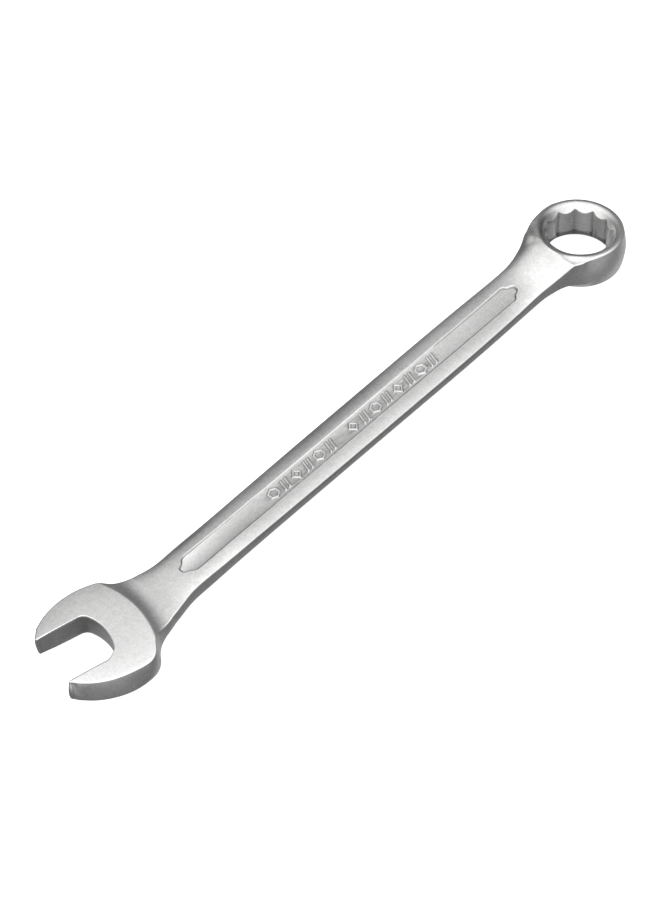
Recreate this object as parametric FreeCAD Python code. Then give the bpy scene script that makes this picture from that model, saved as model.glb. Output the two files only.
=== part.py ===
# Combination wrench, 13 mm across flats: one drop forging in chrome vanadium
# steel with an open end, a flat shank and a twelve-point ring.
# Units are millimetres.  +X runs along the shank from the open end to the
# ring, +Z is up out of the face that carries the raised marks, and the origin
# is where the centre lines of the shank and of the jaw cross, at half the
# thickness of the open end.
import FreeCAD, Part
import os
from math import sin, cos, tan, pi, radians, sqrt, atan2
from FreeCAD import Vector as V

os.makedirs("parts", exist_ok=True)

# ---------------------------------------------------------------- dimensions
ACROSS_FLATS = 13.0  # nominal size
HEAD_T = 6.0         # thickness of the open end
HEAD_HALF = HEAD_T / 2
HEAD_EDGE = 0.35     # broken edge around the open end
SHANK_EDGE = 0.30    # broken edge along the shank
SEAM_R = 0.50        # hollow rounding between the neck and the ring
BLEND_R = 2.2        # plan blend between open end and shank

# Open end, drawn in jaw axes: x towards the throat, y across the jaw.
# "Plus" is the jaw on the +y side, "minus" the one on the -y side.
JAW_ANGLE = radians(15.0)    # angle between jaw and shank
JAW_CLEAR = 0.10             # opening of the jaw over the nominal size
JAW_HALF = (ACROSS_FLATS + JAW_CLEAR) / 2
# circles: centre, radius
THROAT = (V(-11.50, -0.90), 12.05)
PLUS_SIDE = (V(-0.65, -4.55), 17.75)
MINUS_SIDE = (V(0.70, 5.60), 18.45)
BACK = (V(-14.93, -1.73), 24.30)
PLUS_BACK_R, MINUS_BACK_R = 2.6, 4.3     # roundings between the sides and the back
THROAT_CORNER_R = 1.5
# tip faces: x where they meet the flat and where they meet the side
PLUS_TIP_IN, PLUS_TIP_OUT = -12.95, -11.75
MINUS_TIP_IN, MINUS_TIP_OUT = -12.55, -11.10
TIP_RUN = 2.0                # straight run along x between tip and side arc
TIP_OUT_R = 1.3
PLUS_TIP_IN_R, MINUS_TIP_IN_R = 0.35, 0.5

# hollow that drops from the flats of the open end to the shank
HOLLOW_RUN = 4.1
HOLLOW_LOW = 1.22            # height where it ends
LIP_RUN, LIP_DROP = 2.5, 0.35    # straight slope beyond it

# shank: x, half width, half height of the side, crown height
SHANK = [
    (4.0, 10.6, 0.95, 1.20), (7.0, 9.70, 0.93, 1.20), (9.5, 8.90, 0.93, 1.22),
    (11.5, 8.15, 0.95, 1.28), (13.4, 7.46, 1.05, 1.42), (15.4, 6.86, 1.21, 1.62),
    (18.0, 6.24, 1.42, 1.86), (21.0, 5.80, 1.62, 2.08), (24.5, 5.66, 1.72, 2.18),
    (30.0, 5.63, 1.62, 2.08), (40.0, 5.66, 1.47, 1.93), (52.0, 5.75, 1.36, 1.80),
    (66.0, 5.82, 1.29, 1.71), (84.0, 5.84, 1.28, 1.68), (102.0, 5.82, 1.30, 1.67),
    (110.0, 5.72, 1.31, 1.67), (116.0, 5.58, 1.32, 1.67)]
# neck towards the ring: x, half width, low side, high side, low crown, high crown
NECK = [
    (120.0, 5.50, -1.33, 1.38, -1.68, 1.75), (123.0, 5.45, -1.33, 1.52, -1.68, 1.93),
    (125.5, 5.56, -1.26, 1.82, -1.66, 2.30), (127.5, 5.88, -1.16, 2.20, -1.66, 2.80),
    (129.5, 6.42, -1.22, 2.72, -1.78, 3.50), (131.3, 7.05, -1.55, 3.42, -2.15, 4.30),
    (133.0, 7.62, -2.05, 4.12, -2.60, 4.72), (134.8, 8.05, -2.55, 4.40, -3.00, 4.62)]
STATIONS = [(x, half, -side, side, -crown, crown) for x, half, side, crown in SHANK] + NECK
CROWN_OVERRUN = 1.2          # how far the crowned faces run past the sides
PRISM_HALF = 9.0             # half height of the prism cut down to shank and neck
TALL_X = 110.0               # beyond this the prism keeps its full height
CLIP_Y = 30.0                # half width of the clipping boxes

# ring
RING_ANGLE = radians(15.0)   # its axis leans from +Z towards +X
RING_CENTRE = V(140.50, 0, -1.36)
RING_AXIS = V(sin(RING_ANGLE), 0, cos(RING_ANGLE))
RING_ALONG = V(cos(RING_ANGLE), 0, -sin(RING_ANGLE))
RING_ACROSS = V(0, 1, 0)
RING_D = 20.4                # outside diameter
RING_T = 9.10
RING_HALF = RING_T / 2
RING_EDGE = 1.70             # rounding of the outside edges

# socket
RING_CLEAR = 0.08            # socket over the nominal size
SOCKET_R = (ACROSS_FLATS + RING_CLEAR) / 2
POINTS = 12
POINT_TURN = radians(22.5)   # angular position of the first point
POINT_R = SOCKET_R / cos(radians(30))
LAND_R = SOCKET_R / cos(radians(15))
POINT_ROUND, LAND_ROUND = 0.35, 0.6
BORE_OVERRUN = 3.0           # beyond each face of the ring
TOP_MOUTH_R = 17.0 / 2       # mouth of the countersink, upper face
LOW_MOUTH_R = 15.4 / 2       # mouth of the countersink, lower face
SINK_SLOPE = 1.30            # depth of the countersink per unit of radius
SINK_END_R = SOCKET_R - 0.6  # small end of the countersinks
SINK_OVERRUN = 1.0

# recessed panels, one in each face
PANEL_X0, PANEL_X1 = 22.2, 121.7     # points of the panel
PANEL_Z0, PANEL_Z1 = 1.74, 1.24      # height of its floor at those points
PANEL_DEPTH = 0.38
PANEL_WALL = 0.25            # run of the sloping wall over that depth
PANEL_OVERRUN = 1.2          # height of the cutter above the floor
# ogee ends: distance in from the point of the panel, half width
OGEE_START = [(3.55, 2.36), (2.55, 1.94), (1.35, 1.52), (0.55, 0.98), (0.0, 0.0)]
OGEE_END = [(3.05, 2.20), (2.35, 1.82), (1.25, 1.28), (0.50, 0.66), (0.0, 0.0)]
# movement of those points per unit of outline growth: outwards, in half width
OGEE_GROWTH = [(0.3, 1.0), (0.6, 1.0), (0.9, 0.7), (1.1, 0.5), (1.3, 0.0)]

# raised marks on the floor of the upper panel
MARK_H = 0.22
MARK_ROOT = 0.12             # depth below the floor
MARK_X, MARK_Y, MARK_PITCH = 49.4, -0.25, 3.36
MARK_R = 1.55                # corner radius of nuts and lozenges
NUT_HOLE_R, LOZENGE_HOLE_R = 0.98, 0.80
LOZENGE_SQUEEZE = 0.85       # along x
BAR_OFFSET = 0.62            # of each bar from the centre of its pair
BAR_HALF_W, BAR_HALF_L, BAR_LEAN = 0.24, 1.45, 0.35


# ------------------------------------------------------------ plane geometry
def touch_point(circle, centre):
    """point of the circle in line with another centre"""
    return circle[0] + (centre - circle[0]).normalize() * circle[1]


def tangent_fillet(first, second, radius, side):
    """centre and touch points of a circle lying inside two circles"""
    reach1, reach2 = first[1] - radius, second[1] - radius
    span = second[0] - first[0]
    gap = span.Length
    along = (reach1 ** 2 - reach2 ** 2 + gap ** 2) / (2 * gap)
    off = sqrt(reach1 ** 2 - along ** 2) * side
    centre = first[0] + span * (along / gap) + V(-span.y, span.x) * (off / gap)
    return centre, touch_point(first, centre), touch_point(second, centre)


def round_corner(before, corner, after, radius):
    """centre, radius, start and end of the arc that rounds a corner"""
    to_before = (before - corner).normalize()
    to_after = (after - corner).normalize()
    half = to_before.getAngle(to_after) / 2
    reach = radius / tan(half)
    centre = corner + (to_before + to_after).normalize() * (radius / sin(half))
    return centre, radius, corner + to_before * reach, corner + to_after * reach


def throat_corner(side):
    """centre of the rounding between flat and throat, its ends on flat and throat"""
    y = side * (JAW_HALF - THROAT_CORNER_R)
    middle, radius = THROAT
    x = middle.x + sqrt((radius - THROAT_CORNER_R) ** 2 - (y - middle.y) ** 2)
    centre = V(x, y)
    return centre, V(x, side * JAW_HALF), touch_point(THROAT, centre)


def at_x(circle, x, side):
    centre, radius = circle
    return V(x, centre.y + side * sqrt(radius ** 2 - (x - centre.x) ** 2))


def arc_edge(place, centre, radius, start, end):
    """short arc; place maps the drawing plane into space"""
    middle = centre + ((start + end) * 0.5 - centre).normalize() * radius
    return Part.Arc(place(start), place(middle), place(end)).toShape()


def line_edge(place, start, end):
    return Part.makeLine(place(start), place(end))


def sorted_wire(edges):
    return Part.Wire(Part.__sortEdges__(edges))


def face_kinds(solid, edge):
    """sorted surface kinds of the faces that meet at an edge"""
    return sorted(face.Surface.TypeId.replace("Part::Geom", "") for face in solid.Faces
                  if any(edge.isSame(other) for other in face.Edges))


# ------------------------------------------------------------------ open end
def jaw_point(point, z=0.0):
    return V(point.x * cos(JAW_ANGLE) + point.y * sin(JAW_ANGLE),
             -point.x * sin(JAW_ANGLE) + point.y * cos(JAW_ANGLE), z)


def head_wire():
    def place(point):
        return jaw_point(point, -HEAD_HALF)

    def arc(*spec):
        return arc_edge(place, *spec)

    def line(start, end):
        return line_edge(place, start, end)

    plus_c, plus_on_side, plus_on_back = tangent_fillet(PLUS_SIDE, BACK, PLUS_BACK_R, -1)
    minus_c, minus_on_side, minus_on_back = tangent_fillet(MINUS_SIDE, BACK, MINUS_BACK_R, 1)

    # tips: short faces that lean back from the mouth
    plus_in = V(PLUS_TIP_IN, JAW_HALF)
    plus_out = at_x(PLUS_SIDE, PLUS_TIP_OUT, 1)
    plus_run = at_x(PLUS_SIDE, PLUS_TIP_OUT + TIP_RUN, 1)
    minus_in = V(MINUS_TIP_IN, -JAW_HALF)
    minus_out = at_x(MINUS_SIDE, MINUS_TIP_OUT, -1)
    minus_run = at_x(MINUS_SIDE, MINUS_TIP_OUT + TIP_RUN, -1)
    plus_outer = round_corner(plus_run, plus_out, plus_in, TIP_OUT_R)
    plus_inner = round_corner(plus_out, plus_in, V(0, JAW_HALF), PLUS_TIP_IN_R)
    minus_inner = round_corner(V(0, -JAW_HALF), minus_in, minus_out, MINUS_TIP_IN_R)
    minus_outer = round_corner(minus_in, minus_out, minus_run, TIP_OUT_R)

    plus_tc, plus_flat, plus_throat = throat_corner(1)
    minus_tc, minus_flat, minus_throat = throat_corner(-1)
    return sorted_wire([
        arc(*PLUS_SIDE, plus_on_side, plus_run),
        line(plus_run, plus_outer[2]),
        arc(*plus_outer),
        line(plus_outer[3], plus_inner[2]),
        arc(*plus_inner),
        line(plus_inner[3], plus_flat),
        arc(plus_tc, THROAT_CORNER_R, plus_flat, plus_throat),
        arc(*THROAT, plus_throat, minus_throat),
        arc(minus_tc, THROAT_CORNER_R, minus_throat, minus_flat),
        line(minus_flat, minus_inner[2]),
        arc(*minus_inner),
        line(minus_inner[3], minus_outer[2]),
        arc(*minus_outer),
        line(minus_outer[3], minus_run),
        arc(*MINUS_SIDE, minus_run, minus_on_side),
        arc(minus_c, MINUS_BACK_R, minus_on_side, minus_on_back),
        arc(*BACK, minus_on_back, plus_on_back),
        arc(plus_c, PLUS_BACK_R, plus_on_back, plus_on_side)])


# --------------------------------------------------- plan of shank and neck
def shank_prism():
    def side_curve(sign):
        curve = Part.BSplineCurve()
        curve.interpolate([V(row[0], sign * row[1], -PRISM_HALF) for row in STATIONS])
        return curve.toShape()

    def cross_line(row, sign):
        x, half = row[:2]
        return Part.makeLine(V(x, -sign * half, -PRISM_HALF), V(x, sign * half, -PRISM_HALF))

    wire = Part.Wire([side_curve(-1), cross_line(STATIONS[-1], 1),
                      side_curve(1), cross_line(STATIONS[0], -1)])
    return Part.Face(wire).extrude(V(0, 0, 2 * PRISM_HALF))


def crease(solid, positive_y):
    """upright edge where the shank leaves the open end, on one side"""
    for edge in solid.Edges:
        ends = edge.Vertexes
        if len(ends) == 2 and abs(ends[0].Z - ends[1].Z) > 5 and 3 < ends[0].X < 12 \
                and (ends[0].Y > 0) == positive_y \
                and "SurfaceOfExtrusion" in face_kinds(solid, edge):
            return edge


def build_plan():
    """open end and shank, all as thick as the open end"""
    head = Part.Face(head_wire()).extrude(V(0, 0, HEAD_T))
    slab = Part.makeBox(200, 2 * CLIP_Y, HEAD_T, V(-30, -CLIP_Y, -HEAD_HALF))
    plan = head.fuse(shank_prism().common(slab)).removeSplitter().Solids[0]
    for positive_y in (True, False):
        plan = plan.makeFillet(BLEND_R, [crease(plan, positive_y)]).Solids[0]
    return plan


def build_tall_neck():
    """full-height prism at the ring end, where the neck outgrows the open end"""
    return shank_prism().common(Part.makeBox(
        60, 2 * CLIP_Y, 2 * PRISM_HALF, V(TALL_X, -CLIP_Y, -PRISM_HALF)))


# ------------------------------------- upper and lower faces of the forging
def section(x, half, side_low, side_high, crown_low, crown_high):
    """closed section across the shank; the crowns run on past the side faces"""
    scale = (half + CROWN_OVERRUN) / half
    fall = scale * scale - 1.0
    high = side_high - (crown_high - side_high) * fall
    low = side_low + (side_low - crown_low) * fall
    wide = half * scale
    low_minus, high_minus = V(x, -wide, low), V(x, -wide, high)
    high_plus, low_plus = V(x, wide, high), V(x, wide, low)
    return Part.Wire([
        Part.makeLine(low_minus, high_minus),
        Part.Arc(high_minus, V(x, 0, crown_high), high_plus).toShape(),
        Part.makeLine(high_plus, low_plus),
        Part.Arc(low_plus, V(x, 0, crown_low), low_minus).toShape()])


def build_disc():
    """turned disc about the centre of the back arc: flats, then hollows"""
    middle = jaw_point(BACK[0])
    flat_r = BACK[1]
    end_r = flat_r + HOLLOW_RUN
    lip_r = end_r + LIP_RUN
    lip_z = HOLLOW_LOW - LIP_DROP
    drop = HEAD_HALF - HOLLOW_LOW
    hollow_r = (HOLLOW_RUN ** 2 + drop ** 2) / (2 * drop)
    half_turn = 0.5 * atan2(HOLLOW_RUN, hollow_r - drop)

    def at(radius, z):
        return V(middle.x + radius, middle.y, z)

    def hollow(side):
        on_arc = at(end_r - hollow_r * sin(half_turn),
                    side * (HOLLOW_LOW + hollow_r * (1 - cos(half_turn))))
        return Part.Arc(at(flat_r, side * HEAD_HALF), on_arc,
                        at(end_r, side * HOLLOW_LOW)).toShape()

    profile = sorted_wire([
        Part.makeLine(at(0, -HEAD_HALF), at(0, HEAD_HALF)),
        Part.makeLine(at(0, HEAD_HALF), at(flat_r, HEAD_HALF)),
        hollow(1),
        Part.makeLine(at(end_r, HOLLOW_LOW), at(lip_r, lip_z)),
        Part.makeLine(at(lip_r, lip_z), at(lip_r, -lip_z)),
        Part.makeLine(at(lip_r, -lip_z), at(end_r, -HOLLOW_LOW)),
        hollow(-1),
        Part.makeLine(at(flat_r, -HEAD_HALF), at(0, -HEAD_HALF))])
    return Part.Face(profile).revolve(middle, V(0, 0, 1), 360)


# ---------------------------------------------------------------------- ring
def build_ring():
    ring = Part.makeCylinder(RING_D / 2, RING_T, RING_CENTRE - RING_AXIS * RING_HALF, RING_AXIS)
    rims = [edge for edge in ring.Edges if edge.Curve.TypeId == "Part::GeomCircle"]
    return ring.makeFillet(RING_EDGE, rims)


def ring_cone(radius0, radius1, height0, height1):
    return Part.makeCone(radius0, radius1, height1 - height0,
                         RING_CENTRE + RING_AXIS * height0, RING_AXIS)


def socket_wire(height):
    """two crossed hexagons with rounded points and lands"""
    def place(point):
        return (RING_CENTRE + RING_ALONG * point.x + RING_ACROSS * point.y
                + RING_AXIS * height)

    count = 2 * POINTS
    points = []
    for i in range(count):
        radius = LAND_R if i % 2 else POINT_R
        angle = POINT_TURN + i * 2 * pi / count
        points.append(V(radius * cos(angle), radius * sin(angle)))
    corners = [round_corner(points[i - 1], points[i], points[(i + 1) % count],
                            LAND_ROUND if i % 2 else POINT_ROUND) for i in range(count)]
    edges = []
    for i in range(count):
        edges.append(arc_edge(place, *corners[i]))
        edges.append(line_edge(place, corners[i][3], corners[(i + 1) % count][2]))
    return sorted_wire(edges)


def build_socket():
    """cutter: bore and both countersinks"""
    bore = Part.Face(socket_wire(-RING_HALF - BORE_OVERRUN)).extrude(
        RING_AXIS * (RING_T + 2 * BORE_OVERRUN))
    flare = SINK_OVERRUN / SINK_SLOPE
    top = ring_cone(SINK_END_R, TOP_MOUTH_R + flare,
                    RING_HALF - (TOP_MOUTH_R - SINK_END_R) * SINK_SLOPE,
                    RING_HALF + SINK_OVERRUN)
    low = ring_cone(LOW_MOUTH_R + flare, SINK_END_R,
                    -RING_HALF - SINK_OVERRUN,
                    -RING_HALF + (LOW_MOUTH_R - SINK_END_R) * SINK_SLOPE)
    return bore.fuse(top).fuse(low)


# ------------------------------------------------------------- edges to round
def head_edges(solid):
    """rim of the flat faces of the open end, without the drop to the shank"""
    found = []
    for edge in solid.Edges:
        box = edge.BoundBox
        if box.ZLength < 1e-3 and abs(abs(box.ZMin) - HEAD_HALF) < 1e-3 and box.XMax < 10 \
                and "Toroid" not in face_kinds(solid, edge):
            found.append(edge)
    return found


def shank_edges(solid):
    """long corners between the side faces and the crowned faces"""
    found = []
    for edge in solid.Edges:
        box = edge.BoundBox
        if face_kinds(solid, edge) == ["BSplineSurface", "SurfaceOfExtrusion"] \
                and box.XLength > 1.5 and box.ZLength < 3.3 and box.XMin > 10:
            found.append(edge)
    return found


def ring_seam(solid):
    """seam where the crowned faces of the neck run into the ring"""
    found = []
    for edge in solid.Edges:
        kinds = face_kinds(solid, edge)
        if edge.BoundBox.XMin > 126 and "BSplineSurface" in kinds \
                and {"Toroid", "Cylinder"} & set(kinds):
            found.append(edge)
    return found


# ----------------------------------------------------------- recessed panels
def on_floor(x, y, rise, side=1):
    """point at a rise above the panel floor; side=-1 for the lower face"""
    slope = (PANEL_Z1 - PANEL_Z0) / (PANEL_X1 - PANEL_X0)
    return V(x, y, side * (PANEL_Z0 + (x - PANEL_X0) * slope + rise))


def panel_outline(grow, rise, side):
    """closed outline: straight sides with an ogee at both ends"""
    def ogee(tip_x, inward, table):
        return [(tip_x + inward * (inset - grow * out), half + grow * widen)
                for (inset, half), (out, widen) in zip(table, OGEE_GROWTH)]

    def curve(points, sign):
        spline = Part.BSplineCurve()
        spline.interpolate([on_floor(x, sign * y, rise, side) for x, y in points])
        return spline.toShape()

    start = ogee(PANEL_X0, 1, OGEE_START)
    end = ogee(PANEL_X1, -1, OGEE_END)
    edges = [curve(points, sign) for points in (start, end) for sign in (1, -1)]
    for sign in (1, -1):
        edges.append(Part.makeLine(*[on_floor(x, sign * y, rise, side)
                                     for x, y in (start[0], end[0])]))
    return sorted_wire(edges)


def panel_cutter(side):
    grow = PANEL_WALL / PANEL_DEPTH * PANEL_OVERRUN
    return Part.makeLoft([panel_outline(0, 0, side),
                          panel_outline(grow, PANEL_OVERRUN, side)], True, True)


# -------------------------------------------------------------- raised marks
def mark_prism(points, height):
    wire = Part.makePolygon([on_floor(x, y, -MARK_ROOT) for x, y in points + points[:1]])
    return Part.Face(wire).extrude(V(0, 0, height + MARK_ROOT))


def hollow_polygon(x, y, hole_r, count, squeeze):
    def corners(radius):
        return [(x + squeeze * radius * cos(2 * pi * i / count),
                 y + radius * sin(2 * pi * i / count)) for i in range(count)]
    return mark_prism(corners(MARK_R), MARK_H).cut(mark_prism(corners(hole_r), MARK_H + 1))


def nut(x, y):
    return hollow_polygon(x, y, NUT_HOLE_R, 6, 1.0)


def lozenge(x, y):
    return hollow_polygon(x, y, LOZENGE_HOLE_R, 4, LOZENGE_SQUEEZE)


def bars(x, y):
    """two slanting bars"""
    def bar(middle):
        return mark_prism([(middle - BAR_HALF_W - BAR_LEAN, y - BAR_HALF_L),
                           (middle + BAR_HALF_W - BAR_LEAN, y - BAR_HALF_L),
                           (middle + BAR_HALF_W + BAR_LEAN, y + BAR_HALF_L),
                           (middle - BAR_HALF_W + BAR_LEAN, y + BAR_HALF_L)], MARK_H)
    return bar(x - BAR_OFFSET).fuse(bar(x + BAR_OFFSET))


# None leaves a gap
MARK_ROW = [nut, bars, lozenge, bars, nut, bars, None, lozenge,
            bars, nut, bars, lozenge, bars, nut, bars]


# ------------------------------------------------------------------- forging
def build_wrench():
    crown = Part.makeLoft([section(*row) for row in STATIONS], True, False)
    skin = build_disc().fuse(crown)
    body = build_plan().fuse(build_tall_neck()).common(skin).removeSplitter()
    body = body.fuse(build_ring()).removeSplitter()
    body = body.cut(build_socket()).Solids[0]
    for radius, select in ((HEAD_EDGE, head_edges), (SHANK_EDGE, shank_edges),
                           (SEAM_R, ring_seam)):
        body = body.makeFillet(radius, select(body)).Solids[0]
    for side in (1, -1):
        body = body.cut(panel_cutter(side))
    for i, mark in enumerate(MARK_ROW):
        if mark is not None:
            body = body.fuse(mark(MARK_X + i * MARK_PITCH, MARK_Y))
    return body.Solids[0]


wrench = build_wrench()
assert wrench.isValid()
wrench.exportStep("parts/wrench_forging.step")
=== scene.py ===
"""Combination wrench: one drop forging in satin chrome.

It lies along X with its faces up and down: the open end is centred on the origin and
opens towards -X, turned a little to +Y; the tilted ring end is centred at x = 140.5 mm.
The forging is a field, negative inside the steel, in millimetres.  It is meshed on a
grid that is finer where the detail is, then settled onto the field.
"""
from math import atan2, cos, hypot, pi, radians, sin, sqrt, tan

import bpy
import numpy as np
from mathutils import Matrix, Vector


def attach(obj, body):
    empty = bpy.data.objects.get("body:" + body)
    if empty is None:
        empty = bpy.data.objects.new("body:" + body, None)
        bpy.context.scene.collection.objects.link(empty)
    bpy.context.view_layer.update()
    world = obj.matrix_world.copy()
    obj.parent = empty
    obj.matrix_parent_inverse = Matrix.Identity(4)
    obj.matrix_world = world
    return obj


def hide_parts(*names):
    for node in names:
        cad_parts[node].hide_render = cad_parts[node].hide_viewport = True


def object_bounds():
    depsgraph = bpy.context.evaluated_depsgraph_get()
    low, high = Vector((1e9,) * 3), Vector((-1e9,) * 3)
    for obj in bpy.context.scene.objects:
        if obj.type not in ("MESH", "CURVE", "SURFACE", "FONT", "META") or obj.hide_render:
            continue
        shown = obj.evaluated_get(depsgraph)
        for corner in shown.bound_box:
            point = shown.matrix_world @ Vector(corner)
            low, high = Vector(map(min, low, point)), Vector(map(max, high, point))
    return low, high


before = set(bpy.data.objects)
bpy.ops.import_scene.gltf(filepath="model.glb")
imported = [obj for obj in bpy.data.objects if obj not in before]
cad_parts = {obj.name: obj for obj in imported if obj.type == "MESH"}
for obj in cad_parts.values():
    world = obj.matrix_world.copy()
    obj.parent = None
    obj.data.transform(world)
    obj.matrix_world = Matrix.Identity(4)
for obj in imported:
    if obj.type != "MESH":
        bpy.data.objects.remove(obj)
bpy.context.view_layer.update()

# ------------------------------------------------------------------ sizes, millimetres
ACROSS_FLATS = 13.0

# open end, in jaw axes: u away from the opening, v across it
JAW_TURN = radians(15.0)
JAW_HALF = (ACROSS_FLATS + 0.10) / 2
TIP_UP_U, TIP_LOW_U = -13.50, -13.10
THROAT_C, THROAT_R = (-11.50, -0.90), 12.05
UP_C, UP_R = (-0.65, -4.55), 17.75       # outer arc on the +v side
LOW_C, LOW_R = (0.70, 5.60), 18.45       # outer arc on the -v side
BACK_C, BACK_R = (-14.93, -1.73), 24.30  # arc behind the head
BACK_UP_R, BACK_LOW_R = 2.6, 5.4         # roundings between outer and back arcs
THROAT_UP_R, THROAT_LOW_R = 2.4, 3.5     # roundings between flats and throat
TIP_OUT_R, TIP_UP_R, TIP_LOW_R = 1.3, 0.35, 0.5

# faces of the open end: slightly domed flats, then an arc down to the shank
HEAD_HALF, FLAT_Z, DOME, DOME_R = 3.0, 3.10, 0.28, 13.4
SLOPE_RUN, SLOPE_LOW = 4.9, 1.18
SLOPE_DROP = HEAD_HALF - SLOPE_LOW
SLOPE_R = (SLOPE_RUN ** 2 + SLOPE_DROP ** 2) / (2 * SLOPE_DROP)
HOLLOW = 1.3                             # softness where head and shank meet

# ring end: a wall with two faces, two countersinks and a twelve-point socket
RING_X, RING_Z, RING_TILT = 140.50, -1.36, radians(15.0)
RING_D, RING_HALF = 20.4, 9.10 / 2
RIM_R, RIM_H = 8.85, 4.50
SINK_TOP_D, SINK_LOW_D, SINK_SLOPE = 16.75, 15.5, 1.30
SOCKET_TURN = radians(22.5)
SOCKET_R = (ACROSS_FLATS + 0.08) / 2

# recessed panels in both faces of the shank
PANEL_X0, PANEL_X1, PANEL_Y = 22.2, 121.7, -0.22
PANEL_W0, PANEL_W1 = 2.40, 2.26          # half widths at the two ends
PANEL_Z0, PANEL_Z1 = 1.74, 1.24          # floor heights at the two ends
WALL_SLOPE, WALL_SOFT = 1.95, 0.06
DISH_X = [24.0, 34.0, 46.0, 72.0, 100.0]
DISH = [0.050, 0.046, 0.026, 0.026, 0.012]
# ogee ends: (x from the panel's end, half width)
PANEL_START = [(0.0, 0.0), (0.06, 0.46), (0.40, 0.86), (1.00, 1.16), (1.55, 1.56),
               (2.00, 2.06), (2.70, PANEL_W0 - 0.04), (3.6, PANEL_W0)]
PANEL_END = [(-3.0, PANEL_W1), (-2.2, PANEL_W1 - 0.02), (-1.72, 1.92), (-1.42, 1.42),
             (-0.98, 1.10), (-0.40, 0.86), (-0.06, 0.46), (0.0, 0.0)]

# raised marks in the upper panel: n nut outline, l lozenge, b pair of slanted bars
MARKS = "nblbnb lbnblbnb"
MARK_H, MARK_X, MARK_PITCH, MARK_Y = 0.30, 49.4, 3.36, -0.25
NUT_R, NUT_LINE = 1.27, 0.26             # LINE: half the width of a stroke
LOZENGE_R, LOZENGE_LINE = 1.18, 0.24
BAR_X, BAR_LINE, BAR_HALF, BAR_SLANT = 0.62, 0.26, 1.45, 0.24

# shank sections: x, half width, half height at the edge, half height at the crown
SHANK = [
    (4.0, 10.35, 0.95, 1.20), (7.0, 9.36, 0.93, 1.20), (9.5, 8.62, 0.93, 1.22),
    (11.5, 8.06, 0.95, 1.28), (13.4, 7.38, 1.05, 1.42), (15.4, 6.86, 1.21, 1.62),
    (18.0, 6.24, 1.42, 1.86), (21.0, 5.80, 1.62, 2.08), (24.5, 5.66, 1.72, 2.18),
    (30.0, 5.63, 1.62, 2.08), (40.0, 5.66, 1.47, 1.93), (52.0, 5.75, 1.36, 1.80),
    (66.0, 5.82, 1.29, 1.71), (84.0, 5.84, 1.28, 1.68), (102.0, 5.82, 1.30, 1.67),
    (110.0, 5.72, 1.31, 1.67), (116.0, 5.58, 1.32, 1.67)]
# neck sections: x, half width, z of lower edge, upper edge, lower crown, upper crown
NECK = [
    (120.0, 5.50, -1.33, 1.38, -1.68, 1.75), (123.0, 5.45, -1.33, 1.52, -1.68, 1.93),
    (125.5, 5.58, -1.26, 1.74, -1.66, 2.40), (127.5, 5.92, -1.20, 2.08, -1.66, 3.10),
    (129.5, 6.37, -1.26, 2.68, -1.78, 3.98), (131.3, 6.92, -1.60, 3.55, -2.15, 4.86),
    (133.0, 7.50, -2.10, 4.50, -2.60, 5.80), (134.8, 8.00, -2.60, 4.95, -3.00, 6.40)]
# centre line of the shank: x, y
MID_LINE = [(4.0, 0.15), (7.0, 0.12), (9.8, 0.10), (12.0, -0.10), (14.5, -0.26),
            (22.0, -0.20), (32.0, -0.08), (46.0, 0.0), (90.0, 0.0), (125.0, 0.0),
            (129.0, 0.0), (132.0, -0.06), (135.0, -0.25)]

# grid lines: start, then runs of (end, step)
GRID_X = -15.0, [(12.0, .20), (21.6, .26), (26.2, .10), (47.4, .40), (98.6, .1305),
                 (118.2, .40), (122.4, .10), (129.0, .22), (151.6, .17)]
GRID_Y = 0.0, [(2.10, .13), (2.75, .065), (4.9, .22), (6.1, .12), (14.6, .20)]
GRID_Z = -8.3, [(-3.3, .20), (-2.4, .13), (-1.1, .12), (1.1, .24), (2.4, .10),
                (3.3, .13), (5.7, .17)]
TRIANGLES = 190000
RING_FROM = 122.0                        # the ring end is worked out beyond this x


# ------------------------------------------------------------------ shaping functions
def spline(knots, values):
    """natural cubic through the points, level beyond its ends"""
    xs, ys = np.asarray(knots, float), np.asarray(values, float)
    count, gap = len(xs), np.diff(xs)
    matrix, right = np.zeros((count, count)), np.zeros(count)
    matrix[0, 0] = matrix[-1, -1] = 1.0
    for i in range(1, count - 1):
        matrix[i, i - 1:i + 2] = gap[i - 1], 2 * (gap[i - 1] + gap[i]), gap[i]
        right[i] = 6 * ((ys[i + 1] - ys[i]) / gap[i] - (ys[i] - ys[i - 1]) / gap[i - 1])
    curl = np.linalg.solve(matrix, right)

    def curve(x):
        x = np.asarray(x, float)
        i = np.clip(np.searchsorted(xs, x) - 1, 0, count - 2)
        x = np.clip(x, xs[0], xs[-1])
        ahead, past, span = xs[i + 1] - x, x - xs[i], gap[i]
        return (curl[i] * ahead ** 3 + curl[i + 1] * past ** 3) / (6 * span) \
            + (ys[i] / span - curl[i] * span / 6) * ahead \
            + (ys[i + 1] / span - curl[i + 1] * span / 6) * past
    return curve


def union(a, b, r):
    """union of two fields with a hollow rounding of radius r"""
    round_off = np.sqrt(np.maximum(r - a, 0) ** 2 + np.maximum(r - b, 0) ** 2)
    return np.maximum(r, np.minimum(a, b)) - round_off


def common(a, b, r):
    """intersection of two fields with an edge rounding of radius r"""
    round_off = np.sqrt(np.maximum(r + a, 0) ** 2 + np.maximum(r + b, 0) ** 2)
    return np.minimum(-r, np.maximum(a, b)) + round_off


def soft_max(a, b, width):
    """soft maximum of two heights"""
    near = np.maximum(width - np.abs(a - b), 0) / width
    return np.maximum(a, b) + near * near * width * 0.25


def soft_min(a, b, width):
    return -soft_max(-a, -b, width)


def ease(t):
    t = np.clip(t, 0, 1)
    return t * t * (3 - 2 * t)


def rise(value, start, run):
    """0 up to start, easing to 1 at start + run"""
    return ease((value - start) / run)


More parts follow.
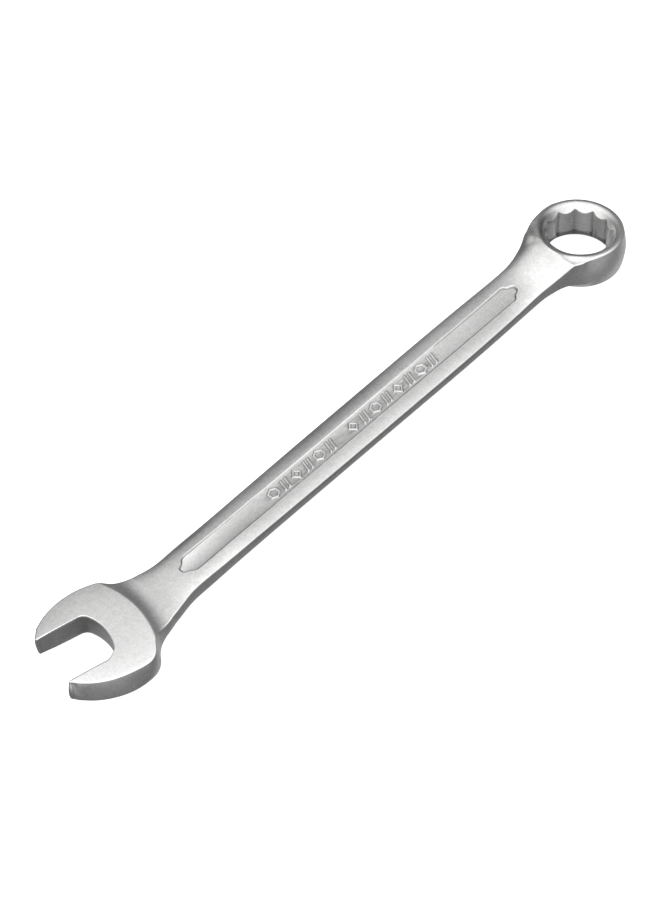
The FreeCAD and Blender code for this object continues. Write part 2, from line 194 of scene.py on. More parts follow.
def fall(value, start, run):
    """0 down to start, easing to 1 at start - run"""
    return ease((start - value) / run)


def bell(value, centre, width):
    return np.exp(-((value - centre) / width) ** 2)


def outline_sdf(outline, x, y):
    """signed distance of points to a closed polygon, negative inside"""
    x, y = x.ravel(), y.ravel()
    square = np.full(x.shape, 1e9)
    inside = np.zeros(x.shape, bool)
    for i, (ax, ay) in enumerate(outline):
        bx, by = outline[(i + 1) % len(outline)]
        ex, ey = bx - ax, by - ay
        wx, wy = x - ax, y - ay
        t = np.clip((wx * ex + wy * ey) / (ex * ex + ey * ey), 0, 1)
        square = np.minimum(square, (wx - ex * t) ** 2 + (wy - ey * t) ** 2)
        if ay != by:
            inside ^= ((ay > y) != (by > y)) & (x < ax + (y - ay) * ex / (by - ay))
    return np.where(inside, -1, 1) * np.sqrt(square)


class Table:
    """an outline's distances on a square grid, read back with a Catmull-Rom lookup"""

    def __init__(self, outline, low, high, step):
        self.low, self.step = low, step
        axes = [low[k] + step * np.arange(int((high[k] - low[k]) / step) + 2) for k in (0, 1)]
        grid = np.meshgrid(*axes, indexing="ij")
        self.size = grid[0].shape
        self.values = outline_sdf(outline, *grid).reshape(self.size)

    def place(self, value, axis):
        """cell number along an axis, and the four weights around it"""
        size = self.size[axis]
        at = np.clip((value - self.low[axis]) / self.step, 1, size - 2.001)
        cell = np.clip(at.astype(int), 1, size - 3)
        t = at - cell
        return cell, (((-t + 2) * t - 1) * t * 0.5, ((3 * t - 5) * t * t + 2) * 0.5,
                      ((-3 * t + 4) * t + 1) * t * 0.5, (t - 1) * t * t * 0.5)

    def __call__(self, x, y):
        (ix, weights_x), (iy, weights_y) = self.place(x, 0), self.place(y, 1)
        out = 0.0
        for a in range(4):
            row = 0.0
            for b in range(4):
                row = row + weights_y[b] * self.values[ix + a - 1, iy + b - 1]
            out = out + weights_x[a] * row
        return out


# ------------------------------------------------------------------ open end outline
def from_jaw(u, v):
    return u * cos(JAW_TURN) + v * sin(JAW_TURN), -u * sin(JAW_TURN) + v * cos(JAW_TURN)


def to_jaw(x, y):
    return x * cos(JAW_TURN) - y * sin(JAW_TURN), x * sin(JAW_TURN) + y * cos(JAW_TURN)


def rounding(c1, r1, c2, r2, r, side):
    """arc of radius r touching two circles from inside: centre, two touching points"""
    a, b = r1 - r, r2 - r
    dx, dy = c2[0] - c1[0], c2[1] - c1[1]
    gap = hypot(dx, dy)
    along = (a * a - b * b + gap * gap) / (2 * gap)
    off = sqrt(a * a - along * along) * side
    ux, uy = dx / gap, dy / gap
    centre = (c1[0] + ux * along - uy * off, c1[1] + uy * along + ux * off)
    return centre, push_out(c1, r1, centre), push_out(c2, r2, centre)


def push_out(centre, r, point):
    """where the ray from a circle's centre through a point meets the circle"""
    dx, dy = point[0] - centre[0], point[1] - centre[1]
    k = r / hypot(dx, dy)
    return centre[0] + dx * k, centre[1] + dy * k


def corner(before, tip, after, r):
    """rounded corner: centre, start, end"""
    ax, ay = before[0] - tip[0], before[1] - tip[1]
    bx, by = after[0] - tip[0], after[1] - tip[1]
    la, lb = hypot(ax, ay), hypot(bx, by)
    ax, ay, bx, by = ax / la, ay / la, bx / lb, by / lb
    half = 0.5 * atan2(abs(ax * by - ay * bx), ax * bx + ay * by)
    t, k = r / tan(half), r / sin(half)
    lm = hypot(ax + bx, ay + by)
    return ((tip[0] + (ax + bx) / lm * k, tip[1] + (ay + by) / lm * k),
            (tip[0] + ax * t, tip[1] + ay * t), (tip[0] + bx * t, tip[1] + by * t))


def arc(centre, r, start, end, step=0.12):
    cx, cy = centre
    a0, a1 = atan2(start[1] - cy, start[0] - cx), atan2(end[1] - cy, end[0] - cx)
    turn = (a1 - a0 + pi) % (2 * pi) - pi
    n = max(2, int(abs(turn) * r / step) + 1)
    return [(cx + r * cos(a0 + turn * i / n), cy + r * sin(a0 + turn * i / n))
            for i in range(n + 1)]


def on_arc(centre, r, u, side):
    return u, centre[1] + side * sqrt(r * r - (u - centre[0]) ** 2)


def throat_corner(v, side, r):
    """rounding from a flat into the throat: centre, end on the flat, end in the throat"""
    cv = v - side * r
    cu = THROAT_C[0] + sqrt((THROAT_R - r) ** 2 - (cv - THROAT_C[1]) ** 2)
    return (cu, cv), (cu, v), push_out(THROAT_C, THROAT_R, (cu, cv))


def head_outline():
    back_up, up1, up2 = rounding(UP_C, UP_R, BACK_C, BACK_R, BACK_UP_R, -1)
    back_low, low1, low2 = rounding(LOW_C, LOW_R, BACK_C, BACK_R, BACK_LOW_R, 1)
    up_in, up_out = (TIP_UP_U, JAW_HALF), on_arc(UP_C, UP_R, -11.75, 1)
    low_in, low_out = (TIP_LOW_U, -JAW_HALF), on_arc(LOW_C, LOW_R, -11.10, -1)
    up_next = on_arc(UP_C, UP_R, up_out[0] + 2.0, 1)
    low_next = on_arc(LOW_C, LOW_R, low_out[0] + 2.0, -1)
    throat_up, flat_up, wall_up = throat_corner(JAW_HALF, 1, THROAT_UP_R)
    throat_low, flat_low, wall_low = throat_corner(-JAW_HALF, -1, THROAT_LOW_R)
    c1, s1, e1 = corner(up_next, up_out, up_in, TIP_OUT_R)
    c2, s2, e2 = corner(up_out, up_in, (0, JAW_HALF), TIP_UP_R)
    c3, s3, e3 = corner((0, -JAW_HALF), low_in, low_out, TIP_LOW_R)
    c4, s4, e4 = corner(low_in, low_out, low_next, TIP_OUT_R)
    points = arc(UP_C, UP_R, up1, up_next) + arc(c1, TIP_OUT_R, s1, e1)
    points += arc(c2, TIP_UP_R, s2, e2, 0.06) + arc(throat_up, THROAT_UP_R, flat_up, wall_up)
    points += arc(THROAT_C, THROAT_R, wall_up, wall_low)
    points += arc(throat_low, THROAT_LOW_R, wall_low, flat_low)
    points += arc(c3, TIP_LOW_R, s3, e3, 0.08) + arc(c4, TIP_OUT_R, s4, e4)
    points += arc(LOW_C, LOW_R, low_next, low1) + arc(back_low, BACK_LOW_R, low1, low2)
    points += arc(BACK_C, BACK_R, low2, up2) + arc(back_up, BACK_UP_R, up2, up1)
    kept = points[:1]
    for p in points[1:]:
        if hypot(p[0] - kept[-1][0], p[1] - kept[-1][1]) > 1e-4:
            kept.append(p)
    return np.array([from_jaw(u, v) for u, v in kept[:-1]])     # the last repeats the first


HEAD_TABLE = Table(head_outline(), (-17.0, -17.0), (17.0, 17.0), 0.1)
BACK_X, BACK_Y = from_jaw(*BACK_C)


def sdf_head(x, y):
    return HEAD_TABLE(np.clip(x, -16.8, 16.7), np.clip(y, -16.8, 16.7))


# ------------------------------------------------------------------ shank curves
def edge_trim(x):
    """how much thinner the edges are than the sections give"""
    if x < 17.0 or x > 126.0:
        return 0.0
    return 0.09 if x < 118.0 else 0.06


SECTIONS = [(x, w, -edge, edge, -crown, crown) for x, w, edge, crown in SHANK] + NECK
KNOTS = [s[0] for s in SECTIONS]
half_width = spline(KNOTS, [s[1] + (0.05 if 23 < s[0] < 118 else 0.0) for s in SECTIONS])
low_edge = spline(KNOTS, [s[2] + edge_trim(s[0]) for s in SECTIONS])
top_edge = spline(KNOTS, [s[3] - edge_trim(s[0]) for s in SECTIONS])
low_crown = spline(KNOTS, [s[4] for s in SECTIONS])
top_crown = spline(KNOTS, [s[5] for s in SECTIONS])
mid_line = spline(*zip(*MID_LINE))


# ------------------------------------------------------------------ panels and marks
def panel_outline():
    def smooth(points, n=10):
        steps = [hypot(b[0] - a[0], b[1] - a[1]) for a, b in zip(points, points[1:])]
        run = np.concatenate([[0], np.cumsum(steps)])
        at = np.linspace(0, run[-1], n * (len(points) - 1) + 1)
        return list(zip(*(spline(run, values)(at) for values in zip(*points))))
    upper = smooth([(PANEL_X0 + dx, w) for dx, w in PANEL_START])
    upper += smooth([(PANEL_X1 + dx, w) for dx, w in PANEL_END])
    return np.array(upper + [(x, -y) for x, y in upper[-2:0:-1]])


PANEL_OUTLINE = panel_outline()
PANEL_TABLES = [(lo, hi, Table(PANEL_OUTLINE, (lo - 0.5, -0.5), (hi + 0.5, 9.0), 0.05))
                for lo, hi in ((PANEL_X0 - 4, PANEL_X0 + 6), (PANEL_X1 - 6, PANEL_X1 + 4))]


def sdf_panel(x, y):
    """distance to the panel outline: exact near its ends, plain half width between"""
    y = y - PANEL_Y
    out = np.abs(y) - (PANEL_W0 + (x - PANEL_X0) * (PANEL_W1 - PANEL_W0)
                       / (PANEL_X1 - PANEL_X0))
    for lo, hi, table in PANEL_TABLES:
        near = (x > lo) & (x < hi)
        out[near] = table(x[near], np.abs(y[near]))
    out = np.where(x < PANEL_X0 - 3.9, np.hypot(PANEL_X0 - x, y), out)
    return np.where(x > PANEL_X1 + 3.9, np.hypot(x - PANEL_X1, y), out)


def sdf_marks(x, y):
    """signed distance to the row of marks"""
    out = np.full(x.shape, 9.0)
    for i, kind in enumerate(MARKS):
        cx = MARK_X + i * MARK_PITCH
        near = (np.abs(x - cx) < MARK_PITCH / 2) & (np.abs(y) < 2.6)
        if kind == " ":
            continue
        u, v = x[near] - cx, y[near] - MARK_Y
        if kind == "n":
            angle = (np.arctan2(v, u) - pi / 6) % (pi / 3) - pi / 6
            d = np.abs(np.hypot(u, v) * np.cos(angle) - NUT_R * cos(pi / 6)) - NUT_LINE
        elif kind == "l":
            d = np.abs((np.abs(u) / 0.85 + np.abs(v) - LOZENGE_R) * 0.65) - LOZENGE_LINE
        else:
            d = np.abs(np.abs(u - v * BAR_SLANT) - BAR_X) - BAR_LINE
            d = np.maximum(d, np.abs(v) - BAR_HALF)
        out[near] = np.minimum(out[near], d)
    return out


# ------------------------------------------------------------------ open end and shank
def faces(x, y):
    """heights of the top and bottom faces"""
    radius = np.hypot(x - BACK_X, y - BACK_Y)
    inset = np.clip(BACK_R + SLOPE_RUN - radius, 0, SLOPE_R * 0.97)
    slope = SLOPE_LOW + SLOPE_R - np.sqrt(SLOPE_R * SLOPE_R - inset * inset) \
        - 0.14 * np.maximum(radius - BACK_R - SLOPE_RUN, 0)
    flat = FLAT_Z - DOME * np.minimum(np.hypot(x, y) / DOME_R, 1.3) ** 4
    head = soft_min(flat, slope, 0.30)
    # the shank falls from its crown to its edges
    t = np.minimum(np.abs(y - mid_line(x)) / half_width(x), 1.22)
    drop = 0.34 * t * t + 0.66 * t ** 5
    top, low = top_crown(x), low_crown(x)
    top = soft_max(head, top - (top - top_edge(x)) * drop, HOLLOW)
    depth = soft_max(head, -(low - (low - low_edge(x)) * drop), HOLLOW)
    # recessed panels with a dished floor
    inside = sdf_panel(x, y)
    dish = np.interp(x, DISH_X, DISH) * (np.minimum(np.abs(y), 2.6) ** 2 * 0.5 - 0.8)
    bed = PANEL_Z0 + (x - PANEL_X0) * (PANEL_Z1 - PANEL_Z0) / (PANEL_X1 - PANEL_X0) + dish
    wall = bed + WALL_SLOPE * 0.5 * (inside + np.sqrt(inside * inside + WALL_SOFT * WALL_SOFT))
    top = soft_min(top, wall, 0.07)
    depth = soft_min(depth, wall, 0.07)
    return top + MARK_H * ease(0.5 - sdf_marks(x, y) / 0.20), -depth


def walls(x, y):
    """side field, then how far walls barrel, round at the edge, lean and flare"""
    head = sdf_head(x, y)
    head = np.where(x > 16, np.maximum(head, 4.0), head)
    slope = (half_width(x + 0.05) - half_width(x - 0.05)) / 0.1
    shank = (np.abs(y - mid_line(x)) - half_width(x)) / np.sqrt(1 + slope * slope)
    side = union(head, np.maximum(shank, 4.5 - x), 2.4 - 1.3 * fall(y, -2.0, 3.0))
    # the flats of the opening stay plumb; throat and outside walls are barrelled
    u, v = to_jaw(x, y)
    past_up, past_low = np.abs(v) - JAW_HALF, -v - JAW_HALF
    outside = rise(np.hypot(np.maximum(past_up, 0), np.maximum(u - 0.6, 0)), 0.5, 2.2)
    outside = np.maximum(outside, fall(u, -11.6, 1.2) * rise(past_up, -0.2, 1.0))
    throat = rise(u, -4.0, 3.5) * (1 - outside) * fall(u, 6.0, 3.0)
    barrel = outside * (0.30 + (0.08 - 0.30) * rise(x, 2, 9.0)) + 0.20 * throat
    barrel = barrel * (1 - 0.55 * rise(past_low, 1.5, 2.5) * fall(u, 6.0, 6.0)
                       * rise(u, -12.2, 2.0))
    barrel = barrel * (1 - rise(x, 118, 8))
    barrel = barrel + 0.24 * fall(u, -11.0, 1.2) * rise(past_low, 0.1, 1.0)
    lean = rise(past_low, -0.7, 1.8) * fall(u, 7.0, 8.0)
    flare = rise(x, 2, 5.0) * fall(x, 32, 16.0) * fall(y, -2.0, 2.0)
    edge = 0.25 - 0.10 * throat * (1 - outside) \
        - 0.16 * (1 - outside) * (1 - throat) * rise(v, 2.0, 2.0) * rise(u, -11.4, 2.5)
    return side, barrel, edge, lean, flare, throat * (1 - outside)


def plan(x, y):
    """all that depends on x and y only"""
    return (*faces(x, y), *walls(x, y))


def solid(parts, z):
    """field of the open end and shank, from the parts of the plan"""
    top, low, side, barrel, edge, lean, flare, throat = parts
    t = np.clip((z - (top + low) * 0.5) / ((top - low) * 0.5), -1.2, 1.2)
    side = side - barrel * (1 - np.abs(t) ** 2.4) + lean * (0.47 * t - 0.01) \
        + flare * (0.09 * t + 0.23)
    side = side + throat * (0.08 * t + 0.10)
    return common(side, np.maximum(z - top, low - z), edge)


# ------------------------------------------------------------------ ring end
def ring_axes(x, z):
    """distance along the ring's own plane and height above it"""
    dx, dz = x - RING_X, z - RING_Z
    return (dx * cos(RING_TILT) - dz * sin(RING_TILT),
            dx * sin(RING_TILT) + dz * cos(RING_TILT))


def ring_parts(x, y, z):
    """fields of wall and lower face, top face, countersinks, socket; mouth rounding"""
    along, h = ring_axes(x, z)
    q = np.hypot(along, y)
    neckward = -along / np.maximum(q, 0.1)
    bulge = 0.12 + 0.18 * np.maximum(along, 0) / 10.0
    barrel = 0.70 * (np.minimum(np.abs(h), 5.5) / 4.4) ** 1.8
    wall = (q - (RING_D / 2 + bulge - barrel)) * 0.97
    clear = 1 - rise(neckward, 0.60, 0.38)           # 0 towards the neck
    # the faces fall away outside the rim
    over = np.clip(q - RIM_R, 0, 3.0) / 0.75
    flank = rise(np.abs(y), 1.8, 3.0) * rise(neckward, 0.52, 0.25)
    crown = (0.15 * clear + (0.13 + 0.03 * np.sign(y)) * flank) * over * over \
        / (1 + 0.22 * over * over)
    top = h - RIM_H + 0.06 + crown
    low = -h - RIM_H - 0.08 + 0.33 * rise(q, 8.4, 1.6) + crown
    # socket: two hexagons, points and lands slightly rounded; it leans a little
    along = along + 0.05 * np.minimum(h, 0)
    q = np.hypot(along, y)
    angle = np.arctan2(y, along) - SOCKET_TURN
    sixth = pi / 3
    hexagons = []
    for turn in (0.0, pi / 6):
        b = (angle + turn) % sixth                   # 0 at a point of this hexagon
        flat = q * np.cos(b - sixth / 2) - SOCKET_R
        beside = q * np.cos(sixth / 2 + np.minimum(b, sixth - b)) - SOCKET_R
        hexagons.append(common(flat, beside, 0.30))
    socket = union(*hexagons, 0.55)
    sink_top = (q - (SINK_TOP_D / 2 - (RING_HALF - h) / SINK_SLOPE)) * 0.793
    sink_low = (q - (SINK_LOW_D / 2 - (RING_HALF + h) / SINK_SLOPE)) * 0.793
    mouth = 0.50 + 0.45 * (1 - clear)
    return common(wall, low, 0.28), top, sink_top, sink_low, socket, mouth


def with_ring(body, x, y, z):
    """the neck runs into the ring; faces, countersinks and socket are then cut"""
    wall, top, sink_top, sink_low, socket, mouth = ring_parts(x, y, z)
    body = np.maximum(body, (x - RING_X) * 0.9)
    hollow = 0.5 + (1.0 + 1.6 * rise(y, -3.0, 6.0)) * rise(np.abs(y), 2.5, 4.0)
    soft = fall(x, 136.0, 3.0) * (0.25 + 0.55 * rise(y, -1.0, 5.0)) * rise(y, -6.0, 4.0)
    out = union(body, wall, hollow)
    out = common(out, top, 0.28 + soft)
    out = common(out, -sink_top, mouth)
    out = common(out, -sink_low, 0.4)
    return common(out, -socket, 0.14)


# ------------------------------------------------------------------ whole field
def field(x, y, z):
    """the whole wrench, negative inside"""
    out = solid(plan(x, y), z)
    m = x > RING_FROM
    out[m] = with_ring(out[m], x[m], y[m], z[m])
    return out


def field_beside(points, axis, step):
    moved = points.copy()
    moved[:, axis] += step
    return field(*moved.T)


def gradient(points, e=0.02):
    """central differences"""
    sides = [field_beside(points, k, e) - field_beside(points, k, -e) for k in range(3)]
    return np.stack(sides, 1) / (2 * e)


def settle(points, steps):
    """move the points onto field = 0"""
    for _ in range(steps):
        value, g = field(*points.T), gradient(points)
        move = np.clip(value / np.maximum((g * g).sum(1), 0.05), -0.12, 0.12)
        points = points - g * move[:, None]
    return points


def normals(points):
    g = gradient(points, e=0.012)
    return g / np.maximum(np.linalg.norm(g, axis=1), 1e-9)[:, None]


# ------------------------------------------------------------------ painted light and shade
def bend(points, e=0.22):
    """how strongly the surface bends: above 0 on edges, below 0 in corners"""
    total = sum(field_beside(points, k, s) for k in range(3) for s in (e, -e)) / (e * e)
    x, y, z = points.T
    # the corners around the raised marks get less painted shade
    marks = (np.abs(y) < 2.2) & (x > 47.0) & (x < 99.0) & (z > 0)
    return np.where(marks & (total < 0), 0.36 * total, total)


# painted light and shade on the ring end
def ring_painted_light(x, y, z):
    along, h = ring_axes(x, z)
    q = np.hypot(along, y)
    wall, _, sink_top, _, socket, _ = ring_parts(x, y, z)
    # painted highlight on the socket walls, painted shade at their lower end
    tone = 1 + 0.30 * fall(np.abs(socket), 0.10, 0.10) * (q < 7.9)
    tone *= 1 - 0.60 * fall(h, -2.35, 0.5) * (q < 8.2)
    # painted shade on the upper countersink towards the neck, painted highlight on the outer wall
    cone = fall(np.abs(sink_top), 0.96, 0.8) * fall(q, 10.4, 0.6)
    tone *= 1 - 0.55 * cone * rise(-along / np.maximum(q, .1), -0.15, 0.8)
    return tone * (1 + 0.28 * fall(np.abs(wall), 0.65, 0.5) * rise(x, 131.0, 4.0) * (q > 9.3))


# painted light and shade on the open end
def head_painted_light(x, y, z):
    u, v = to_jaw(x, y)
    opening = (np.abs(v) < JAW_HALF + 0.3) & (u < 3.5) & (x < 8)
    wall = rise(np.minimum(2.75 - z, z + 2.75), -0.15, 0.4) * rise(sdf_head(x, y), -1.1, 0.5)
    radius = np.hypot(x - BACK_X, y - BACK_Y)
    flat = rise(z, 2.60, 0.15) * fall(radius, BACK_R + 0.3, 0.6) * (x < 16)
    # painted light on the top flat, lighter towards -y; painted shade in the opening, deepening
    # towards the throat, and on the tip wall on the -v side
    tone = 1 + flat * (0.22 - 0.13 * np.clip((y + 0.35 * x) / 13.0, -1, 1))
    tone = tone * (1 - opening * wall * (0.12 + 0.30 * rise(u, -7.5, 6.5)))
    return tone * (1 - 0.22 * wall * fall(u, -11.9, 0.9) * rise(-v - JAW_HALF, 0, 0.8))


# painted light and shade on the upper face of the shank and neck
def shank_painted_light(x, y, z):
    upper = rise(z, 0.2, 0.4) * (x > 20)
    # painted shade along the border on the -y side
    tone = 1 - 0.16 * upper * rise(x, 32, 10.0) * (1 - rise(x, 115, 6.0)) * fall(y, -2.5, 0.5)
    # painted highlight on the panel floor near both ends
    bright = 0.28 * (1 - rise(x, 24, 16.0)) + 0.09 * rise(x, 84, 10.0) * (1 - rise(x, 106, 8.0))
    tone = tone * (1 + upper * fall(sdf_panel(x, y), 0, 0.25) * bright)
    # painted shade on two stretches of the +y border
    far = 0.24 * bell(x, 70, 18.0) * rise(y, 2.5, 0.9) + 0.26 * bell(x, 28, 6.0) * rise(y, 3.7, 0.9)
    tone = tone * (1 - upper * far)
    # neck: painted highlight as a slanted streak and in the middle, painted shade on the +y side
    along, across = (0.65 * (x - 133.5) - 0.76 * (y + 6.1), 0.76 * (x - 133.5) + 0.65 * (y + 6.1))
    tone = tone * (1 + 0.26 * upper * bell(along, 0, 1.8) * bell(across, 0, 0.7))
    tone = tone * (1 + 0.14 * upper * bell(x, 127, 4.0) * bell(y, -1.0, 3.2))
    return tone * (1 - 0.24 * upper * bell(x, 130.3, 2.6) * rise(y, 2.4, 2.2))


def painted_light(points):
    """painted light and shade, as a brightness factor for the colour"""
    x, y, z = points.T
    tone = np.ones(len(points))
    m = x > 128.0
    tone[m] = ring_painted_light(x[m], y[m], z[m])
    return tone * head_painted_light(x, y, z) * shank_painted_light(x, y, z)


# ------------------------------------------------------------------ the mesh
def ruler(start, runs, coarse):
    lines = [start]
    for end, step in runs:
        n = max(1, int(round((end - start) / (step * coarse))))
        lines += list(start + (end - start) * (np.arange(n) + 1) / n)
        start = end
    return np.array(lines)


def make_grid(coarse):
    half = ruler(*GRID_Y, coarse)
    return (ruler(*GRID_X, coarse), np.concatenate([-half[:0:-1], half]),
            ruler(*GRID_Z, coarse))


def surface_net(gx, gy, gz):
    """closed quad mesh of field = 0 on a grid of unequal steps"""
    grid = (gx, gy, gz)
    nx, ny, nz = map(len, grid)
    flat = np.meshgrid(gx, gy, indexing="ij")
    parts = [p.reshape(nx, ny, 1) for p in plan(flat[0].ravel(), flat[1].ravel())]
    values = solid(parts, gz).astype(np.float32)
    i0 = int(np.searchsorted(gx, RING_FROM))
    values[i0:] = with_ring(values[i0:], *np.meshgrid(gx[i0:], gy, gz, indexing="ij", copy=False))
    inside = values < 0
    corners = sum(inside[i:nx - 1 + i, j:ny - 1 + j, k:nz - 1 + k].astype(np.int8)
                  for i, j, k in np.ndindex(2, 2, 2))
    active = (corners > 0) & (corners < 8)
    cells = np.argwhere(active)
    ids = np.full(active.shape, -1, np.int64)
    ids[active] = np.arange(len(cells))
    # one vertex per cell: the mean of the crossings on its twelve edges
    total, hits = np.zeros((len(cells), 3)), np.zeros(len(cells))
    for axis in range(3):
        o1, o2 = [k for k in range(3) if k != axis]
        for s, t in [(0, 0), (1, 0), (0, 1), (1, 1)]:
            start = cells.copy()
            start[:, o1] += s
            start[:, o2] += t
            end = start.copy()
            end[:, axis] += 1
            f0, f1 = values[tuple(start.T)], values[tuple(end.T)]
            hit = (f0 < 0) != (f1 < 0)
            share = np.where(hit, f0 / np.where(hit, f0 - f1, 1), 0)
            p = np.stack([grid[k][start[:, k]] for k in range(3)], 1)
            p[:, axis] += share * (grid[axis][end[:, axis]] - grid[axis][start[:, axis]])
            total[hit] += p[hit]
            hits[hit] += 1
    # one quad per crossed grid edge
    quads = []
    for axis in range(3):
        o1, o2 = (axis + 1) % 3, (axis + 2) % 3
        here = [slice(1, -1)] * 3
        here[axis] = slice(0, -1)
        ahead = list(here)
        ahead[axis] = slice(1, None)
        a, b = inside[tuple(here)], inside[tuple(ahead)]
        for crossed, order in ((a & ~b, 1), (~a & b, -1)):
            edges = np.argwhere(crossed) + 1
            edges[:, axis] -= 1
            quad = []
            for s, t in ((-1, -1), (0, -1), (0, 0), (-1, 0)):
                k = edges.copy()
                k[:, o1] += s
                k[:, o2] += t
                quad.append(ids[tuple(k.T)])
            quads.append(np.stack(quad, 1)[:, ::order])
    return total / hits[:, None], np.concatenate(quads)


def thinned(me, target):
    """the same surface with fewer triangles, few where it is flat"""
    tmp = bpy.data.objects.new("tmp_thin", me)
    bpy.context.scene.collection.objects.link(tmp)
    mod = tmp.modifiers.new("thin", "DECIMATE")
    mod.ratio = target / sum(len(p.vertices) - 2 for p in me.polygons)
    depsgraph = bpy.context.evaluated_depsgraph_get()
    out = bpy.data.meshes.new_from_object(tmp.evaluated_get(depsgraph))
    bpy.data.objects.remove(tmp)
    return out


def set_coords(me, points):
    me.vertices.foreach_set("co", (points / 1000.0).astype(np.float32).ravel())


def coords(me):
    co = np.zeros(len(me.vertices) * 3, np.float32)
    me.vertices.foreach_get("co", co)
    return co.reshape(-1, 3).astype(float) * 1000.0


def to_mesh(name, points, quads):
    me = bpy.data.meshes.new(name)
    me.vertices.add(len(points))
    set_coords(me, points)
    me.loops.add(quads.size)
    me.loops.foreach_set("vertex_index", quads.astype(np.int32).ravel())
    me.polygons.add(len(quads))
    me.polygons.foreach_set("loop_start", np.arange(0, quads.size, 4, dtype=np.int32))
    me.update(calc_edges=True)
    me.validate()
    return me


def make_wrench():
    points, quads = surface_net(*make_grid(1.0))
    points = settle(points, 3)
    me = to_mesh("wrench_body", points, quads)
    me = thinned(me, TRIANGLES)
    me.name = "wrench_body"
    points = settle(coords(me), 2)
    set_coords(me, points)
    me.update()
    me.polygons.foreach_set("use_smooth", np.ones(len(me.polygons), bool))
    me.normals_split_custom_set_from_vertices(normals(points).tolist())
    points = coords(me)
    # bend sets painted shade in corners; the second attribute holds painted light and shade
    for name, values in (("bend", np.clip(bend(points), -6, 6)), ("painted_light", painted_light(points))):
        layer = me.attributes.new(name, "FLOAT", "POINT")
        layer.data.foreach_set("value", values.astype(np.float32))
    ob = bpy.data.objects.new("wrench_body", me)
    bpy.context.scene.collection.objects.link(ob)
    return ob


# ------------------------------------------------------------------ material
def add_node(tree, kind, inputs, **settings):
    """a shader node; each input takes a value or a socket to link"""
    node = tree.nodes.new("ShaderNode" + kind)
    for key, value in settings.items():
        setattr(node, key, value)
    for key, value in inputs.items():
        if isinstance(value, bpy.types.NodeSocket):
            tree.links.new(value, node.inputs[key])
        else:
            node.inputs[key].default_value = value
    return node


def remap(tree, value, source, target):
    """value moved from the source range to the target range, clamped"""
    inputs = dict(enumerate((value, *source, *target)))
    return add_node(tree, "MapRange", inputs).outputs[0]


def satin_chrome():
    mat = bpy.data.materials.new("satin_chrome")
    mat.use_nodes = True
    tree = mat.node_tree
    tree.nodes.clear()
    place = add_node(tree, "TexCoord", {}).outputs["Object"]

    def noise(scale, detail, rough):
        return add_node(tree, "TexNoise", {"Vector": place, "Scale": scale, "Detail": detail,
                                           "Roughness": rough}).outputs["Fac"]

    def math(operation, a, b):
        return add_node(tree, "Math", {0: a, 1: b}, operation=operation).outputs[0]

    def attribute(name):
        return add_node(tree, "Attribute", {}, attribute_name=name).outputs["Fac"]

    grain = noise(scale=5200.0, detail=2.0, rough=0.6)     # blasted grain, about 0.2 mm
    sand = noise(scale=2300.0, detail=3.0, rough=0.65)     # sandy grain, about 0.4 mm
    mottle = noise(scale=900.0, detail=4.0, rough=0.6)     # soft mottling, about 1 mm
    cloud = noise(scale=120.0, detail=3.0, rough=0.5)      # broad variation, about 8 mm
    # inputs of the colour mix: 0 share, 6 darker grey, 7 lighter grey
    grey = add_node(tree, "Mix", {0: remap(tree, mottle, (0.3, 0.7), (0, 1)),
                                  6: (0.70, 0.70, 0.695, 1),
                                  7: (0.80, 0.80, 0.795, 1)}, data_type="RGBA")
    # painted shade darkens corners and creases; edges are made up to a tenth brighter
    bent = attribute("bend")
    tone = math("MULTIPLY", remap(tree, bent, (-3.5, -0.3), (0.45, 1.0)),
                remap(tree, bent, (0.6, 4.0), (1.0, 1.10)))
    # painted light and shade from the ring, head and shank
    tone = math("MULTIPLY", tone, attribute("painted_light"))
    tone = math("MULTIPLY", tone, remap(tree, sand, (0.32, 0.68), (0.90, 1.08)))
    colour = add_node(tree, "VectorMath", {0: grey.outputs[2], "Scale": tone},
                      operation="SCALE")
    rough = math("ADD", remap(tree, cloud, (0.3, 0.7), (0.27, 0.33)),
                 remap(tree, grain, (0.3, 0.7), (-0.03, 0.03)))
    fine = add_node(tree, "Bump", {"Strength": 0.5, "Distance": 0.00002, "Height": grain})
    broad = add_node(tree, "Bump", {"Strength": 0.75, "Distance": 0.00003, "Height": mottle,
                                    "Normal": fine.outputs[0]})
    steel = add_node(tree, "BsdfPrincipled", {
        "Metallic": 1.0, "Base Color": colour.outputs[0], "Roughness": rough,
        "Normal": broad.outputs[0]})
    add_node(tree, "OutputMaterial", {0: steel.outputs[0]})
    return mat


wrench = make_wrench()
wrench.data.materials.append(satin_chrome())
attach(wrench, "root")
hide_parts("wrench_forging")

# ------------------------------------------------------------------ stage, metres
FLOOR_HALF, FLOOR_GAP = 3.0, 0.0002
# dome brightness by the cosine to its brightest direction: cosine, brightness
DOME_TOP = (-0.300, -0.450, 0.841)
DOME_STOPS = [(-1.0, 0.46), (-0.76, 0.38), (-0.64, 0.26), (-0.50, 0.18), (-0.25, 0.20),
              (0.0, 0.21), (0.15, 0.36), (0.345, 0.74), (0.50, 1.12), (0.68, 1.35), (1.0, 1.45)]
# camera: rotation vector and shift (mm) from world to view, lens in mm
VIEW_TURN = (2.299387275733652, -0.9740329681189839, 0.13281391312963467)
VIEW_SHIFT = (-47.598129001381174, 40.416282515956, 1942.9407724262712)
SENSOR, LENS = 36.0, 365.5193185552408


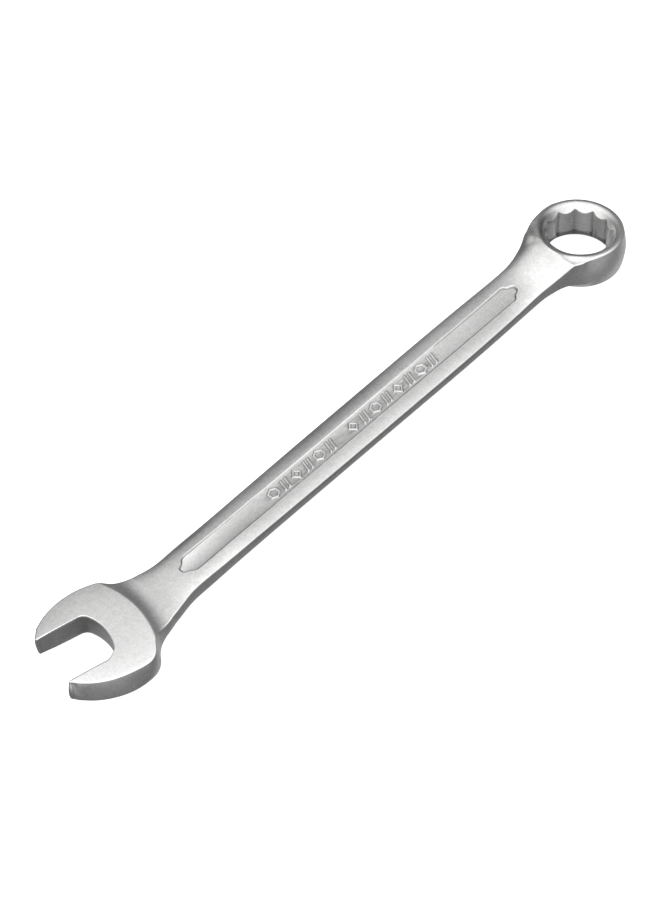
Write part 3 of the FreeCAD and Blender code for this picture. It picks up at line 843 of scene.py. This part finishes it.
def make_floor():
    """pale, faintly glowing floor just under the wrench, unseen in reflections"""
    me = bpy.data.meshes.new("floor")
    low_corner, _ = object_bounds()
    z, s = low_corner.z - FLOOR_GAP, FLOOR_HALF
    me.from_pydata([(-s, -s, z), (s, -s, z), (s, s, z), (-s, s, z)], [], [(0, 1, 2, 3)])
    floor = bpy.data.objects.new("floor", me)
    bpy.context.scene.collection.objects.link(floor)
    mat = bpy.data.materials.new("pale_floor")
    mat.use_nodes = True
    inputs = mat.node_tree.nodes["Principled BSDF"].inputs
    inputs["Base Color"].default_value = (0.9, 0.9, 0.9, 1)
    inputs["Roughness"].default_value = 0.9
    inputs["Emission Color"].default_value = (1, 1, 1, 1)
    inputs["Emission Strength"].default_value = 0.75
    me.materials.append(mat)
    floor.visible_glossy = False


def make_world():
    """gradient dome for the light; the camera itself sees plain white"""
    world = bpy.data.worlds.new("studio")
    bpy.context.scene.world = world
    world.use_nodes = True
    tree = world.node_tree
    tree.nodes.clear()
    direction = add_node(tree, "TexCoord", {}).outputs["Generated"]
    facing = add_node(tree, "VectorMath", {0: direction, 1: DOME_TOP},
                      operation="DOT_PRODUCT").outputs["Value"]
    ramp = add_node(tree, "ValToRGB", {0: remap(tree, facing, (-1.0, 1.0), (0.0, 1.0))})
    ramp.color_ramp.interpolation = "EASE"
    elements = ramp.color_ramp.elements
    elements.remove(elements[-1])
    for i, (cosine, value) in enumerate(DOME_STOPS):
        element = elements.new((cosine + 1) / 2) if i else elements[0]
        element.color = (value, value, value, 1)
    dome = add_node(tree, "Background", {0: ramp.outputs[0]})
    plain = add_node(tree, "Background", {0: (1.0, 1.0, 1.0, 1), 1: 1.0})
    seen = add_node(tree, "LightPath", {}).outputs["Is Camera Ray"]
    mix = add_node(tree, "MixShader", {0: seen, 1: dome.outputs[0], 2: plain.outputs[0]})
    add_node(tree, "OutputWorld", {0: mix.outputs[0]})


def make_camera():
    angle = sqrt(sum(r * r for r in VIEW_TURN))
    back = Matrix.Rotation(angle, 3, Vector(VIEW_TURN) / angle).transposed()
    data = bpy.data.cameras.new("camera")
    data.sensor_fit = "AUTO"
    data.sensor_width = SENSOR
    data.lens = LENS
    data.clip_start, data.clip_end = 0.1, 20.0
    cam = bpy.data.objects.new("camera", data)
    # the view has y down and looks along +z; a camera has y up and looks along -z
    turn = back @ Matrix(((1, 0, 0), (0, -1, 0), (0, 0, -1)))
    place = -(back @ Vector(VIEW_SHIFT)) / 1000.0
    cam.matrix_world = Matrix.Translation(place) @ turn.to_4x4()
    bpy.context.scene.collection.objects.link(cam)
    bpy.context.scene.camera = cam


make_floor()
make_world()
make_camera()
view = bpy.context.scene.view_settings
view.view_transform = "Standard"
view.look = "None"
view.exposure = 0.0
view.gamma = 1.0
